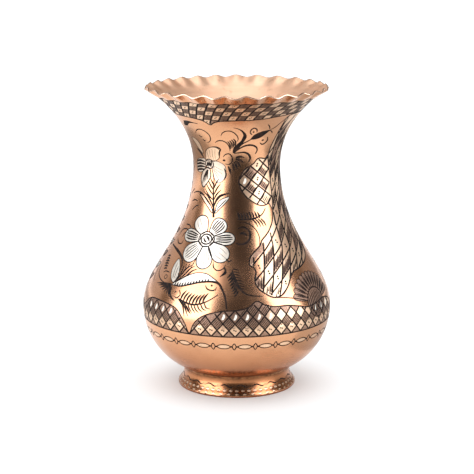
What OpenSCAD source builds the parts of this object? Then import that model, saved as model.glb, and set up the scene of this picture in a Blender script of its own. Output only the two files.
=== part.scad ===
// Hand-engraved copper vase: a bulbous body on a flared foot, a slender neck and a fluted, flared lip.
// It is raised from three spun copper shells that are brazed together.
// Units are millimetres. +Z is up, and the origin is the centre of the foot on the table.

/* [Sheet] */
// Thickness of the spun copper sheet
sheet = 1.0; // [0.8:0.1:1.2]
// Thickness of the braze film between two shells
braze_film = 0.1; // [0.08:0.01:0.15]

/* [Foot] */
// Radius of the foot at the table
foot_r = 43.3; // [42:0.1:45]
// Height of the upright edge at the bottom of the foot
foot_edge_h = 1.8; // [1.5:0.1:2.5]
// Width of the flange turned in under the foot
foot_flange_w = 3; // [2:0.5:4]
// Radius of the crease where the foot meets the bowl
crease_r = 38.9; // [38:0.1:39.5]
// Height of that crease
crease_z = 14.1; // [13.5:0.1:15]

/* [Bowl and shoulder] */
// Radius of the body at its widest
belly_r = 69.1; // [68:0.1:71]
// Height of the widest point, where the two body shells are joined
belly_z = 60.5; // [58:0.5:63]
// Height of the bowl's flat floor, on its outside
floor_z = 9.5; // [8.5:0.5:10.5]
// Height of the stepped lap of the bowl inside the shoulder
lap_h = 5; // [4:0.5:6]

/* [Neck and lip] */
// Radius of the neck at its narrowest
neck_r = 31.6; // [30:0.1:33]
// Height of the narrowest point
neck_z = 164; // [160:1:168]
// Mean radius of the lip's edge
rim_r = 65.8; // [64:0.1:67]
// Mean height of the lip's edge
rim_z = 220; // [218:1:222]
// Number of flutes round the lip
flutes = 27; // [24:1:30]
// Height of a flute above the mean surface at the edge
flute_h = 1.1; // [0.8:0.1:1.4]

/* [Hidden] */
$fn = 128;

copper = [0.80, 0.50, 0.33];
braze_alloy = [0.78, 0.66, 0.42];

// Slope of the sheet at the crease and at the lip's edge, in degrees above level
crease_slope = 24.2;
rim_slope = 33.2;

// The outer line of the body is four Bezier curves: floor, bowl, shoulder and lip.
floor_curve = [
    [0, floor_z],
    [22, floor_z],
    [crease_r - 9 * cos(crease_slope), crease_z - 9 * sin(crease_slope)],
    [crease_r, crease_z]
];
bowl_curve = [
    [crease_r, crease_z],
    [crease_r + 21.6 * cos(crease_slope), crease_z + 21.6 * sin(crease_slope)],
    [belly_r, belly_z - 19.6],
    [belly_r, belly_z]
];
shoulder_curve = [
    [belly_r, belly_z],
    [belly_r, belly_z + 28.7],
    [neck_r, neck_z - 52.7],
    [neck_r, neck_z]
];
lip_curve = [
    [neck_r, neck_z],
    [neck_r, neck_z + 18.7],
    [rim_r - 29.9 * cos(rim_slope), rim_z - 29.9 * sin(rim_slope)],
    [rim_r, rim_z]
];
// The foot's outer line, from its upright edge up to the crease
foot_curve = [
    [foot_r, foot_edge_h],
    [foot_r - 1.5, foot_edge_h + 2.9],
    [crease_r, crease_z - 9.4],
    [crease_r, crease_z]
];

// Steps along each curve
floor_steps = 8;
bowl_steps = 18;
shoulder_steps = 26;
lip_steps = 18;
foot_steps = 10;

// Share of the lip curve where the fluted edge takes over from the plain wall, and where its flutes start
fluted_from = 0.78;
flutes_start = 0.84;
// The fluted edge is a little thinner than the wall, so that its root is buried in it
fluted_inset = 0.05;
flute_columns = 6;
flute_rows = 8;

// Share of the shoulder curve taken by the lap
lap_share = lap_h / (3 * 28.7);

// Reach of the braze fillets along each sheet
fillet_leg = 1.2;

// Point, direction and outward normal of a cubic Bezier curve at share t
function bezier(c, t) =
    pow(1 - t, 3) * c[0] + 3 * pow(1 - t, 2) * t * c[1] + 3 * (1 - t) * t * t * c[2] + t * t * t * c[3];
function bezier_way(c, t) =
    pow(1 - t, 2) * (c[1] - c[0]) + 2 * (1 - t) * t * (c[2] - c[1]) + t * t * (c[3] - c[2]);
function outward(c, t) =
    let (d = bezier_way(c, t)) [d[1], -d[0]] / norm(d);

// A stretch of a curve from share a to share b, moved outward by off
function stretch(c, steps, off = 0, a = 0, b = 1) = [
    for (i = [0:steps])
        let (t = a + (b - a) * i / steps) bezier(c, t) + off * outward(c, t)
];
function reversed(list) = [for (i = [len(list) - 1:-1:0]) list[i]];

// Round wall between two lines, given from bottom to top
module turned(outer, inner) {
    rotate_extrude()
        polygon(concat(outer, reversed(inner)));
}

// The bowl's outside below the belly, moved outward by off and closed on the axis
function bowl_outside(off) = concat(
    [[0, floor_z - off]],
    stretch(floor_curve, floor_steps, off, 0.1, 0.95),
    stretch(bowl_curve, bowl_steps, off, 0, 1)
);

// Flutes: their height fades in over the last part of the lip, and their spacing wanders as beaten work does
function flute_fade(t) = let (s = max(0, (t - flutes_start) / (1 - flutes_start))) s * s * (3 - 2 * s);
function flute_phase(a) = flutes * (a - 45 + 1.5 * sin(2 * a - 100) + 1.0 * sin(3 * a + 40));
function flute_lift(a, t) = flute_h * flute_fade(t) * cos(flute_phase(a));

// One column of the fluted edge at angle a: up the outside and down the inside
function fluted_column(a) = concat(
    [for (i = [0:flute_rows]) fluted_point(a, i / flute_rows, -fluted_inset)],
    [for (i = [flute_rows:-1:0]) fluted_point(a, i / flute_rows, fluted_inset - sheet)]
);
function fluted_point(a, share, off) =
    let (
        t = fluted_from + (1 - fluted_from) * share,
        p = bezier(lip_curve, t) + (off - flute_lift(a, t)) * outward(lip_curve, t)
    )
    [p[0] * sin(a), -p[0] * cos(a), p[1]];

module fluted_edge() {
    columns = flutes * flute_columns;
    around = 2 * (flute_rows + 1);
    points = [for (j = [0:columns - 1]) each fluted_column(360 * j / columns)];
    faces = [
        for (j = [0:columns - 1], k = [0:around - 1])
            let (
                a = j * around + k,
                b = j * around + (k + 1) % around,
                c = ((j + 1) % columns) * around + (k + 1) % around,
                d = ((j + 1) % columns) * around + k
            )
            each [[a, b, c], [a, c, d]]
    ];
    polyhedron(points, faces, convexity = 6);
}

// Shoulder, neck and flared lip, spun in one piece; the lip's edge is crimped into flutes
module upper_shell() {
    wall_top = 0.82;
    color(copper) {
        turned(
            concat(
                [[belly_r, belly_z + braze_film]],
                stretch(shoulder_curve, shoulder_steps, 0, 0.02, 1),
                stretch(lip_curve, lip_steps, 0, 0.05, wall_top)
            ),
            concat(
                [[belly_r - sheet, belly_z + braze_film]],
                stretch(shoulder_curve, shoulder_steps, -sheet, 0.02, 1),
                stretch(lip_curve, lip_steps, -sheet, 0.05, wall_top)
            )
        );
        fluted_edge();
    }
}

// Bowl with a flat floor and a stepped lap that slides inside the shoulder
module lower_bowl() {
    lap_outside = -sheet - braze_film;
    color(copper)
        turned(
            concat(
                bowl_outside(0),
                [[belly_r + lap_outside, belly_z]],
                stretch(shoulder_curve, 3, lap_outside, lap_share / 3, lap_share)
            ),
            concat(
                [[0, floor_z + sheet]],
                stretch(floor_curve, floor_steps, -sheet, 0.1, 0.95),
                stretch(bowl_curve, bowl_steps, -sheet, 0, 0.96),
                [[belly_r + lap_outside - sheet, belly_z]],
                stretch(shoulder_curve, 3, lap_outside - sheet, lap_share / 3, lap_share)
            )
        );
}

// Section of the foot's wall, run on up into the bowl
module foot_section() {
    polygon(concat(
        [[foot_r - foot_flange_w, 0], [foot_r, 0]],
        stretch(foot_curve, foot_steps),
        [[crease_r, crease_z + 2], [crease_r - sheet, crease_z + 2]],
        reversed(stretch(foot_curve, foot_steps, -sheet)),
        [[foot_r - sheet, sheet], [foot_r - foot_flange_w, sheet]]
    ));
}

// Flared foot with a flange turned in along the table, cut to the bowl's underside
module foot_ring() {
    color(copper)
        rotate_extrude()
            difference() {
                foot_section();
                polygon(concat(bowl_outside(braze_film), [[0, belly_z]]));
            }
}

// Film of braze between the bowl's lap and the shoulder, and under the shoulder's edge
module belly_braze() {
    color(braze_alloy)
        turned(
            concat(
                [[belly_r, belly_z], [belly_r, belly_z + braze_film], [belly_r - sheet, belly_z + braze_film]],
                stretch(shoulder_curve, 3, -sheet, lap_share / 3, lap_share)
            ),
            concat(
                [[belly_r - sheet - braze_film, belly_z]],
                stretch(shoulder_curve, 3, -sheet - braze_film, lap_share / 3, lap_share)
            )
        );
}

// Braze between the foot and the bowl: the film in the joint and a fillet on each side of it
module foot_braze() {
    fillet_top = crease_z + fillet_leg;
    color(braze_alloy)
        rotate_extrude()
            difference() {
                polygon([
                    [crease_r - sheet - fillet_leg, crease_z - 2 * fillet_leg],
                    [crease_r - sheet, crease_z - 2 * fillet_leg - 1],
                    [crease_r, crease_z - fillet_leg],
                    [crease_r + fillet_leg, fillet_top],
                    [crease_r - sheet - fillet_leg, fillet_top]
                ]);
                polygon(concat(bowl_outside(0), [[0, belly_z]]));
                difference() {
                    foot_section();
                    polygon(concat(bowl_outside(braze_film), [[0, belly_z]]));
                }
            }
}

upper_shell();
lower_bowl();
foot_ring();
belly_braze();
foot_braze();
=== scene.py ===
"""Hand-engraved copper vase: the looks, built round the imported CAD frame.

Each shell's outer skin is drawn in (angle, height) and cut along every engraved line. The wider
lines are pressed in as grooves. The finest lines and the toned areas lie flat, with a material of
their own. Lengths are in millimetres until a mesh is made.
"""
import math

import bpy
import numpy as np
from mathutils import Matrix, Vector, kdtree
from mathutils.geometry import delaunay_2d_cdt


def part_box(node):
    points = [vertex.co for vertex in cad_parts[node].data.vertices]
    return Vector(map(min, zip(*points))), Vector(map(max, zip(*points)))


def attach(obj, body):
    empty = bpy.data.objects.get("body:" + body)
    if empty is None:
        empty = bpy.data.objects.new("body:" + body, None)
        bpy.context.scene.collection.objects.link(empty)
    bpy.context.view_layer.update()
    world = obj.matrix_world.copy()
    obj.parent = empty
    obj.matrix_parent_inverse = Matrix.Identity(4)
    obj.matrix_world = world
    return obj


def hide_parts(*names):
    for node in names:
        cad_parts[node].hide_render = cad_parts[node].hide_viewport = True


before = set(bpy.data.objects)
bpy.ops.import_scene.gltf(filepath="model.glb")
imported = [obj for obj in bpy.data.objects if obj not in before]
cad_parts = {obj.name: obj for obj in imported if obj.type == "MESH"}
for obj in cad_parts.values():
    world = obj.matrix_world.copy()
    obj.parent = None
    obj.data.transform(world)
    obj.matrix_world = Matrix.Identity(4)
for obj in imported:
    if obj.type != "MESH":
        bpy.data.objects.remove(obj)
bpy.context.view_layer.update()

MM = 0.001
TAU = 2 * math.pi

# ---------------------------------------------------------------- sizes, from the frame

SHELL_BOX = [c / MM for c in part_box("upper_shell")]
BOWL_BOX = [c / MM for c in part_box("lower_bowl")]
FOOT_BOX = [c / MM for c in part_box("foot_ring")]
BRAZE_BOX = [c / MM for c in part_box("belly_braze")]

SHEET = 1.0
FILM = 0.1
FLUTES = 27
FLUTE_H = 1.1
FLUTE_INSET = 0.05
FLUTES_FROM = 0.84
RIM_SLOPE = math.radians(33.2)
CREASE_SLOPE = math.radians(24.2)

BELLY_R = BOWL_BOX[1].x
SEAM_Z = BRAZE_BOX[0].z
FOOT_R = FOOT_BOX[1].x
FLOOR_Z = BOWL_BOX[0].z
LAP_TOP = BOWL_BOX[1].z
RIM_Z = SHELL_BOX[1].z - (SHEET - FLUTE_INSET + FLUTE_H) * math.cos(RIM_SLOPE)
RIM_R = 65.8
NECK_R, NECK_Z = 31.6, 164.0
CREASE_R, CREASE_Z = 38.9, 14.1
FOOT_EDGE_H = 1.8
FOOT_FLANGE = 3.0
FOOT_ROUND = 0.4

# ---------------------------------------------------------------- curves and surfaces


def bezier(c, t):
    """Points on the cubic curve with control points c, at shares t of it."""
    c, t = np.array(c, float), np.asarray(t, float)[:, None]
    return (1 - t) ** 3 * c[0] + 3 * (1 - t) ** 2 * t * c[1] + 3 * (1 - t) * t * t * c[2] + t ** 3 * c[3]


def bezier_way(c, t):
    """The unit directions in which that curve runs at shares t."""
    c, t = np.array(c, float), np.asarray(t, float)[:, None]
    d = (1 - t) ** 2 * (c[1] - c[0]) + 2 * (1 - t) * t * (c[2] - c[1]) + t * t * (c[3] - c[2])
    return d / np.linalg.norm(d, axis=1)[:, None]


FLOOR_CURVE = [
    (0, FLOOR_Z),
    (22, FLOOR_Z),
    (CREASE_R - 9 * math.cos(CREASE_SLOPE), CREASE_Z - 9 * math.sin(CREASE_SLOPE)),
    (CREASE_R, CREASE_Z),
]
BOWL_CURVE = [
    (CREASE_R, CREASE_Z),
    (CREASE_R + 21.6 * math.cos(CREASE_SLOPE), CREASE_Z + 21.6 * math.sin(CREASE_SLOPE)),
    (BELLY_R, SEAM_Z - 19.6),
    (BELLY_R, SEAM_Z),
]
SHOULDER_CURVE = [
    (BELLY_R, SEAM_Z),
    (BELLY_R, SEAM_Z + 28.7),
    (NECK_R, NECK_Z - 52.7),
    (NECK_R, NECK_Z),
]
LIP_CURVE = [
    (NECK_R, NECK_Z),
    (NECK_R, NECK_Z + 18.7),
    (RIM_R - 29.9 * math.cos(RIM_SLOPE), RIM_Z - 29.9 * math.sin(RIM_SLOPE)),
    (RIM_R, RIM_Z),
]
FOOT_CURVE = [
    (FOOT_R, FOOT_EDGE_H),
    (FOOT_R - 1.5, FOOT_EDGE_H + 2.9),
    (CREASE_R, CREASE_Z - 9.4),
    (CREASE_R, CREASE_Z),
]


def flute_fade(t):
    """How far the flutes have grown, from 0 to 1, at share t of the lip curve."""
    s = np.clip((t - FLUTES_FROM) / (1 - FLUTES_FROM), 0, 1)
    return s * s * (3 - 2 * s)


def flute_phase(a):
    """The flutes' phase at angle a, and its slope: their spacing wanders as beaten work does."""
    d = np.degrees(a)
    wander = 1.5 * np.sin(np.radians(2 * d - 100)) + 1.0 * np.sin(np.radians(3 * d + 40))
    slope = 1 + np.radians(3 * np.cos(np.radians(2 * d - 100)) + 3 * np.cos(np.radians(3 * d + 40)))
    return np.radians(FLUTES * (d - 45 + wander)), FLUTES * slope


class Surface:
    """A surface of revolution. A point on it is (angle, q), where q grows by arc length over radius, so
    the (angle, q) plane keeps every small shape. Angle 0 faces -Y and grows towards +X."""

    def __init__(self, *curves, steps=300):
        t = np.linspace(0, 1, steps)
        pts, way, fade = [], [], []
        for c in curves:
            keep = slice(1 if pts else 0, None)
            pts.append(bezier(c, t)[keep])
            way.append(bezier_way(c, t)[keep])
            fade.append((flute_fade(t) if c is LIP_CURVE else 0 * t)[keep])
        p, d = np.concatenate(pts), np.concatenate(way)
        self.r, self.z = p[:, 0], p[:, 1]
        self.nr, self.nz = d[:, 1], -d[:, 0]
        self.fade = np.concatenate(fade)
        ds = np.hypot(np.diff(self.r), np.diff(self.z))
        self.s = np.concatenate([[0], np.cumsum(ds)])
        self.q = np.concatenate([[0], np.cumsum(ds * 2 / (self.r[1:] + self.r[:-1]))])
        self.fade_slope = np.gradient(self.fade, self.s)

    def q_at(self, z):
        return np.interp(z, self.z, self.q)

    def z_at(self, q):
        return np.interp(q, self.q, self.z)

    def r_at(self, q):
        return np.interp(q, self.q, self.r)

    def s_at(self, q):
        return np.interp(q, self.q, self.s)

    def q_of_s(self, s):
        return np.interp(s, self.s, self.q)

    def at(self, a, q, off=0.0, ahead=0.0):
        """Points at (a, q), moved outward by off and on along the profile by ahead, with the flutes in."""
        a, q = np.asarray(a, float), np.asarray(q, float)
        move = off - FLUTE_H * np.interp(q, self.q, self.fade) * np.cos(flute_phase(a)[0])
        nr, nz = np.interp(q, self.q, self.nr), np.interp(q, self.q, self.nz)
        r = np.interp(q, self.q, self.r) + move * nr - ahead * nz
        z = np.interp(q, self.q, self.z) + move * nz + ahead * nr
        return np.stack([r * np.sin(a), -r * np.cos(a), z], -1)

    def normal(self, a, q):
        """Outward unit normals, flutes included."""
        a, q = np.asarray(a, float), np.asarray(q, float)
        phase, slope = flute_phase(a)
        r = np.interp(q, self.q, self.r)
        nr, nz = np.interp(q, self.q, self.nr), np.interp(q, self.q, self.nz)
        round_slope = -FLUTE_H * np.interp(q, self.q, self.fade) * np.sin(phase) * slope / r
        up_slope = FLUTE_H * np.interp(q, self.q, self.fade_slope) * np.cos(phase)
        radial = nr - nz * up_slope
        n = np.stack([
            radial * np.sin(a) + round_slope * np.cos(a),
            -radial * np.cos(a) + round_slope * np.sin(a),
            nz + nr * up_slope,
        ], -1)
        return n / np.linalg.norm(n, axis=-1)[..., None]


BODY = Surface(BOWL_CURVE, SHOULDER_CURVE, LIP_CURVE)
FOOT = Surface(FOOT_CURVE)

# ---------------------------------------------------------------- drawing on a surface

# The tones are the order of a piece's materials
PLAIN, LINE, BRIGHT, DARK, LIGHT, INSIDE, EDGE, GLINT = range(8)

# All strokes are this much wider than their motifs say, and a stroke narrower than THIN is only
# coloured: it has no groove. Widths and depths are in millimetres
STROKE_GAIN = 1.6
FINEST = 0.08
THIN = 0.76
GROOVE_DEPTH = 0.13
GROOVE_SLOPE = 0.55


class Drawing:
    """Engraved strokes and toned areas on a surface, in (degrees, mm of height).

    areas pairs an outline, or a function of (radians, q), with its tone. cuts are outlines cut into the
    mesh without a stroke. flecks are places kept for flecks coloured as painted white glints, punched are
    the outlines of hollows coloured light as a painted reflection, and turn is how far round the vase, in
    degrees, the points given are moved."""

    def __init__(self, surface):
        self.surface = surface
        self.strokes = []
        self.areas = []
        self.cuts = []
        self.flecks = []
        self.punched = []
        self.turn = 0.0

    def plane(self, points):
        """(degrees, height) points as (radians, q)."""
        p = np.array(points, float)
        return np.stack([np.radians(p[:, 0] + self.turn), self.surface.q_at(p[:, 1])], 1)

    def smooth(self, p, step, closed=False):
        """A Catmull-Rom curve through (radians, q) points, sampled about every step mm."""
        n = len(p)
        if n == 2 and not closed:
            corners = [(p[0], p[0], p[1], p[1])]
        elif closed:
            corners = [(p[i - 1], p[i], p[(i + 1) % n], p[(i + 2) % n]) for i in range(n)]
        else:
            corners = [(p[max(i - 1, 0)], p[i], p[i + 1], p[min(i + 2, n - 1)]) for i in range(n - 1)]
        out = []
        for a, b, c, d in corners:
            size = np.linalg.norm(c - b) * self.surface.r_at((b[1] + c[1]) / 2)
            t = np.linspace(0, 1, max(2, int(round(size / step)) + 1))[:-1, None]
            out.append(0.5 * (2 * b + (c - a) * t + (2 * a - 5 * b + 4 * c - d) * t ** 2
                              + (3 * b - 3 * c + d - a) * t ** 3))
        if not closed:
            out.append(p[-1:])
        return np.concatenate(out)

    def stroke(self, points, width=0.55, ends=(0.4, 0.4), step=1.2, closed=False, straight=False,
               flat=False):
        """One engraved stroke, cut every step mm. width is a number, or a list spread evenly along it;
        ends are the shares of a single width left at its ends. flat points are already (radians, q)."""
        p = np.array(points, float) if flat else self.plane(points)
        if straight:
            size = np.linalg.norm(p[-1] - p[0]) * self.surface.r_at(p[:, 1].mean())
            t = np.linspace(0, 1, max(2, int(round(size / step)) + 1))[:, None]
            p = p[0] + (p[-1] - p[0]) * t
        else:
            p = self.smooth(p, step, closed)
        if closed:
            p = np.concatenate([p, p[:1]])
        if len(p) < 2:
            return
        gaps = np.linalg.norm(np.diff(p, axis=0), axis=1)
        u = np.concatenate([[0], np.cumsum(gaps)]) / max(gaps.sum(), 1e-9)
        if np.ndim(width):
            w = np.interp(u, np.linspace(0, 1, len(width)), width)
        elif closed:
            w = np.full(len(u), float(width))
        else:
            w = width * np.interp(u, [0, 0.2, 0.8, 1], [ends[0], 1, 1, ends[1]])
        self.strokes.append((p, np.maximum(w * STROKE_GAIN, FINEST) / 2, closed))

    def girdle(self, points, width, step=2.5):
        """A stroke right round the vase through points that go once round."""
        p = self.plane(points)
        self.stroke(np.concatenate([p, p[:1] + (TAU, 0)]), width, ends=(1, 1), step=step, flat=True)

    def area(self, points, tone, curved=True, edge=None, step=1.2):
        """A toned area inside a closed outline, with an engraved edge of width edge if it is given.
        The outline is a smooth curve through the points unless curved is off."""
        p = self.plane(points)
        if curved:
            p = self.smooth(p, step, True)
        self.areas.append((p, tone))
        if edge:
            self.stroke(p, edge, closed=True, flat=True, step=step)
        else:
            self.cuts.append(p)
        return p


def inside(polygon, a, q):
    """Which (a, q) points lie in a polygon, with angles compared on the circle."""
    mid = (polygon[:, 0].min() + polygon[:, 0].max()) / 2
    a = mid + (a - mid + math.pi) % TAU - math.pi
    x, y = polygon[:, 0], polygon[:, 1]
    near = (a >= x.min()) & (a <= x.max()) & (q >= y.min()) & (q <= y.max())
    hit = np.zeros(len(a), bool)
    an, qn = a[near], q[near]
    odd = np.zeros(len(an), bool)
    for i in range(len(x)):
        j = i - 1
        if y[i] == y[j]:
            continue
        cross = (y[i] > qn) != (y[j] > qn)
        odd ^= cross & (an < (x[j] - x[i]) * (qn - y[i]) / (y[j] - y[i]) + x[i])
    hit[near] = odd
    return hit


def holds(polygon, a, q):
    """Whether one (a, q) point lies in a polygon, a list of pairs."""
    odd = False
    x0, y0 = polygon[-1]
    for x1, y1 in polygon:
        if (y0 > q) != (y1 > q) and a < (x0 - x1) * (q - y1) / (y0 - y1) + x1:
            odd = not odd
        x0, y0 = x1, y1
    return odd


# ---------------------------------------------------------------- cutting a drawing into a skin


def to_disc(p):
    """(radians, q) points on the plane where the skin is an annulus: the map keeps small shapes."""
    rho = np.exp(p[:, 1])
    return np.stack([rho * np.cos(p[:, 0]), rho * np.sin(p[:, 0])], 1)


def from_disc(p):
    """The angles and the q of points on that plane."""
    return np.arctan2(p[:, 1], p[:, 0]), np.log(np.hypot(p[:, 0], p[:, 1]).clip(1e-9))


def ring(count, q, half_step=False):
    """Evenly spaced (radians, q) points round the skin."""
    a = (np.arange(count) + (0.5 if half_step else 0)) * TAU / count
    return np.stack([a, np.full(count, q)], 1)


def side_of(stroke, surface):
    """The steps, in (radians, q), from a stroke's middle line out to its left edge."""
    p, half, closed = stroke
    way = np.gradient(p, axis=0)
    if closed:
        way[0] = way[-1] = p[1] - p[-2]
    way /= np.linalg.norm(way, axis=1)[:, None] + 1e-12
    return np.stack([-way[:, 1], way[:, 0]], 1) * (half / surface.r_at(p[:, 1]))[:, None]


class Net:
    """Points on the disc, with the edges and faces that the triangulation has to keep."""

    def __init__(self):
        self.points = []
        self.edges = []
        self.faces = []
        self.count = 0

    def add(self, p):
        """Takes in (radians, q) points and returns the number of the first."""
        self.points.append(to_disc(p))
        self.count += len(p)
        return self.count - len(p)

    def loop(self, p):
        """Takes in a closed line."""
        first = self.add(p)
        self.edges += [(first + i, first + (i + 1) % len(p)) for i in range(len(p))]

    def fill(self, surface, rings, spacing):
        """Takes in staggered rows of points about spacing mm apart, from the first ring to the last."""
        q, last = rings[0][1], rings[-1][1]
        odd = False
        while True:
            q += 0.87 * spacing / surface.r_at(q)
            if q > last - 0.4 * spacing / surface.r_at(last):
                return
            if min(abs(q - r[1]) * surface.r_at(q) for r in rings) > 0.4 * spacing:
                self.add(ring(int(round(TAU * surface.r_at(q) / spacing)), q, odd))
                odd = not odd

    def lay(self, stroke, surface):
        """Takes in a stroke as triangles: one strip of them if it is thin, or one on each side."""
        p, half, _ = stroke
        side = side_of(stroke, surface)
        rows = [p + side, p - side] if half.max() < THIN / 2 else [p + side, p, p - side]
        n = len(p)
        first = self.add(np.concatenate(rows))
        flat = self.points[-1]
        for i in range(n - 1):
            for j in range(len(rows) - 1):
                a, b, c, e = j * n + i, j * n + i + 1, (j + 1) * n + i + 1, (j + 1) * n + i
                for tri in ((a, b, c), (a, c, e)):
                    (x0, y0), (x1, y1), (x2, y2) = flat[list(tri)]
                    area = (x1 - x0) * (y2 - y0) - (x2 - x0) * (y1 - y0)
                    if abs(area) > 1e-12:
                        self.faces.append([first + v for v in (tri if area > 0 else tri[::-1])])

    def triangulate(self):
        """The points, the triangles between them, and which triangles lie in a stroke."""
        flat = np.concatenate(self.points)
        out = delaunay_2d_cdt([Vector(v) for v in flat], self.edges, self.faces, 0, 1e-6)
        whole = [(face, bool(laid)) for face, laid in zip(out[2], out[5]) if len(face) == 3]
        tris, struck = (np.array(column) for column in zip(*whole))
        return np.array([v[:] for v in out[0]]), tris, struck


def tones_at(drawing, a, q, struck):
    """The tone of each triangle, from the angle and q of its middle. Later areas cover earlier ones,
    strokes cover areas, and punched hollows cover both."""
    tone = np.full(len(a), PLAIN)
    for shape, value in drawing.areas:
        if callable(shape):
            got = shape(a, q)
            tone = np.where(got >= 0, got, tone)
        else:
            tone[inside(shape, a, q)] = value
    tone[struck] = LINE
    # Punched hollows take the light pecked tone: a painted reflection of their dished insides
    for shape in drawing.punched:
        tone[inside(shape, a, q)] = LIGHT
    return tone


def groove_depths(drawing, xyz, tris, struck):
    """How deep each point is pressed in: only a point wholly inside strokes is."""
    inner = np.zeros(len(xyz), bool)
    inner[tris[struck].ravel()] = True
    inner[tris[~struck].ravel()] = False
    inner_ids = np.nonzero(inner)[0]
    depths = np.zeros(len(xyz))
    tree = kdtree.KDTree(max(1, len(inner_ids)))
    for i in inner_ids:
        tree.insert(xyz[i], int(i))
    tree.balance()
    for p, half, _ in drawing.strokes:
        pts = drawing.surface.at(p[:, 0], p[:, 1])
        for p0, p1, h0, h1 in zip(pts[:-1], pts[1:], half[:-1], half[1:]):
            way = p1 - p0
            size = float(np.linalg.norm(way))
            if size < 1e-6:
                continue
            way = way / size
            for co, i, _ in tree.find_range((p0 + p1) / 2, size / 2 + max(h0, h1)):
                off = np.array(co) - p0
                u = min(max(float(off @ way), 0.0), size)
                gap = float(np.linalg.norm(off - u * way))
                h = h0 + (h1 - h0) * u / size
                depths[i] = max(depths[i], min(GROOVE_DEPTH, (h - gap) * GROOVE_SLOPE))
    return depths


def cut_skin(drawing, rings, spacing):
    """Triangulates the surface between the first and last of rings, [(count, q), ...], along every
    stroke, with points about spacing mm apart elsewhere. Returns the vertices as (radians, q, depth),
    the triangles and each triangle's tone."""
    surface = drawing.surface
    net = Net()
    for n, q in rings:
        net.loop(ring(n, q))
    net.fill(surface, rings, spacing)
    for p in drawing.cuts:
        net.loop(p)
    for stroke in drawing.strokes:
        net.lay(stroke, surface)
    flat, tris, struck = net.triangulate()
    # The triangulation also fills the hole inside the first ring
    n, q = rings[0]
    mid = flat[tris].mean(1)
    keep = np.hypot(mid[:, 0], mid[:, 1]) > math.exp(q) * math.cos(math.pi / n) * 0.9999
    tris, struck, mid = tris[keep], struck[keep], mid[keep]
    tone = tones_at(drawing, *from_disc(mid), struck)
    a, q = from_disc(flat)
    depths = groove_depths(drawing, surface.at(a, q), tris, struck)
    return np.stack([a, q, depths], 1), tris, tone


# ---------------------------------------------------------------- motifs


def local(d, centre):
    """A function from (mm right, mm up) round a centre in (degrees, height) to flat (radians, q)."""
    (a0, q0), = d.plane([centre])
    r = d.surface.r_at(q0)
    return lambda pts: np.array([(a0 + x / r, q0 + y / r) for x, y in pts])


def oval(wide, tall, count):
    """count points round an ellipse, from its half width and half height."""
    return [(wide * math.cos(t), tall * math.sin(t)) for t in np.arange(count) * TAU / count]


def petal(d, centre, angle, start, length, width, stripes, stripe_w):
    """A bright round-ended petal that points along angle, in degrees from level, with stripes along it.
    It runs from start to length mm from the centre."""
    to = local(d, centre)
    ca, sa = math.cos(math.radians(angle)), math.sin(math.radians(angle))

    def half(u):
        if u < 0.62:
            return width / 2 * (0.40 + 0.60 * math.sin(math.pi / 2 * u / 0.62))
        return width / 2 * math.sqrt(max(0.0, 1 - ((u - 0.62) / 0.38) ** 2))

    def spot(u, v):
        x, y = start + (length - start) * u, v * half(u)
        return x * ca - y * sa, x * sa + y * ca

    us = [0, 0.2, 0.42, 0.62, 0.78, 0.90, 0.975]
    outline = [spot(u, 1) for u in us] + [spot(1, 0)] + [spot(u, -1) for u in reversed(us)]
    p = d.smooth(to(outline), 1.3, True)
    d.areas.append((p, BRIGHT))
    d.stroke(p, 0.5, closed=True, flat=True, step=1.3)
    for k in range(stripes):
        v = -0.72 + 1.44 * (k + 0.5) / stripes
        reach = 0.93 - 0.22 * abs(v)
        line = to([spot(u, v) for u in np.linspace(0.10, reach, 5)])
        d.stroke(line, stripe_w, ends=(0.3, 0.5), flat=True, step=1.4)


def dot(d, centre, w, h):
    """A small solid oval, w by h mm before the gain in its shorter side."""
    if w >= h:
        line, width = [(-w / 2, 0), (0, 0), (w / 2, 0)], h
    else:
        line, width = [(0, -h / 2), (0, 0), (0, h / 2)], w
    d.stroke(local(d, centre)(line), [width * 0.4, width, width * 0.4], flat=True, step=0.6)


def fleck(d, centre, size):
    """A teardrop cut by one tap of a curved tool, coloured as a painted white glint."""
    p = [(-0.7, -1.2), (0.2, -1.3), (0.95, -0.1), (0.8, 1.1), (0.1, 1.3), (-0.2, 0.2)]
    p = d.smooth(local(d, centre)([(x * size, y * size) for x, y in p]), 0.6, True)
    d.areas.append((p, GLINT))
    d.cuts.append(p)


def strokes(d, width, *paths):
    """Several strokes of one width."""
    for path in paths:
        d.stroke(path, width)


def big_flower(d):
    """The seven-petalled flower in the middle of the panel, with two rings and two cuts in its eye."""
    centre = (-30, 116.3)
    for angle, length, width, stripes, w in (
        (125, 20.3, 14.0, 3, 0.18),
        (52, 20.0, 13.0, 5, 0.62),
        (5, 21.5, 9.6, 4, 0.66),
        (-38, 21.3, 11.6, 3, 0.18),
        (-82, 20.0, 10.4, 5, 0.26),
        (-131, 20.4, 12.8, 5, 0.42),
        (177, 22.3, 10.2, 4, 0.70),
    ):
        petal(d, centre, angle, 5.6, length, width, stripes, w)
    to = local(d, centre)
    for radius, w in ((6.4, 0.55), (4.3, 0.75)):
        p = to(oval(radius, radius * 0.86, 12))
        d.areas.append((d.smooth(p, 1.0, True), BRIGHT))
        d.stroke(p, w, closed=True, flat=True)
    d.stroke(to([(-0.6, 2.2), (1.6, 0.6), (2.6, -1.6)]), [0.5, 1.2, 0.5], flat=True)
    d.stroke(to([(-2.4, 0.9), (-1.2, -1.2), (0.9, -2.4)]), [0.4, 1.0, 0.5], flat=True)


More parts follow.
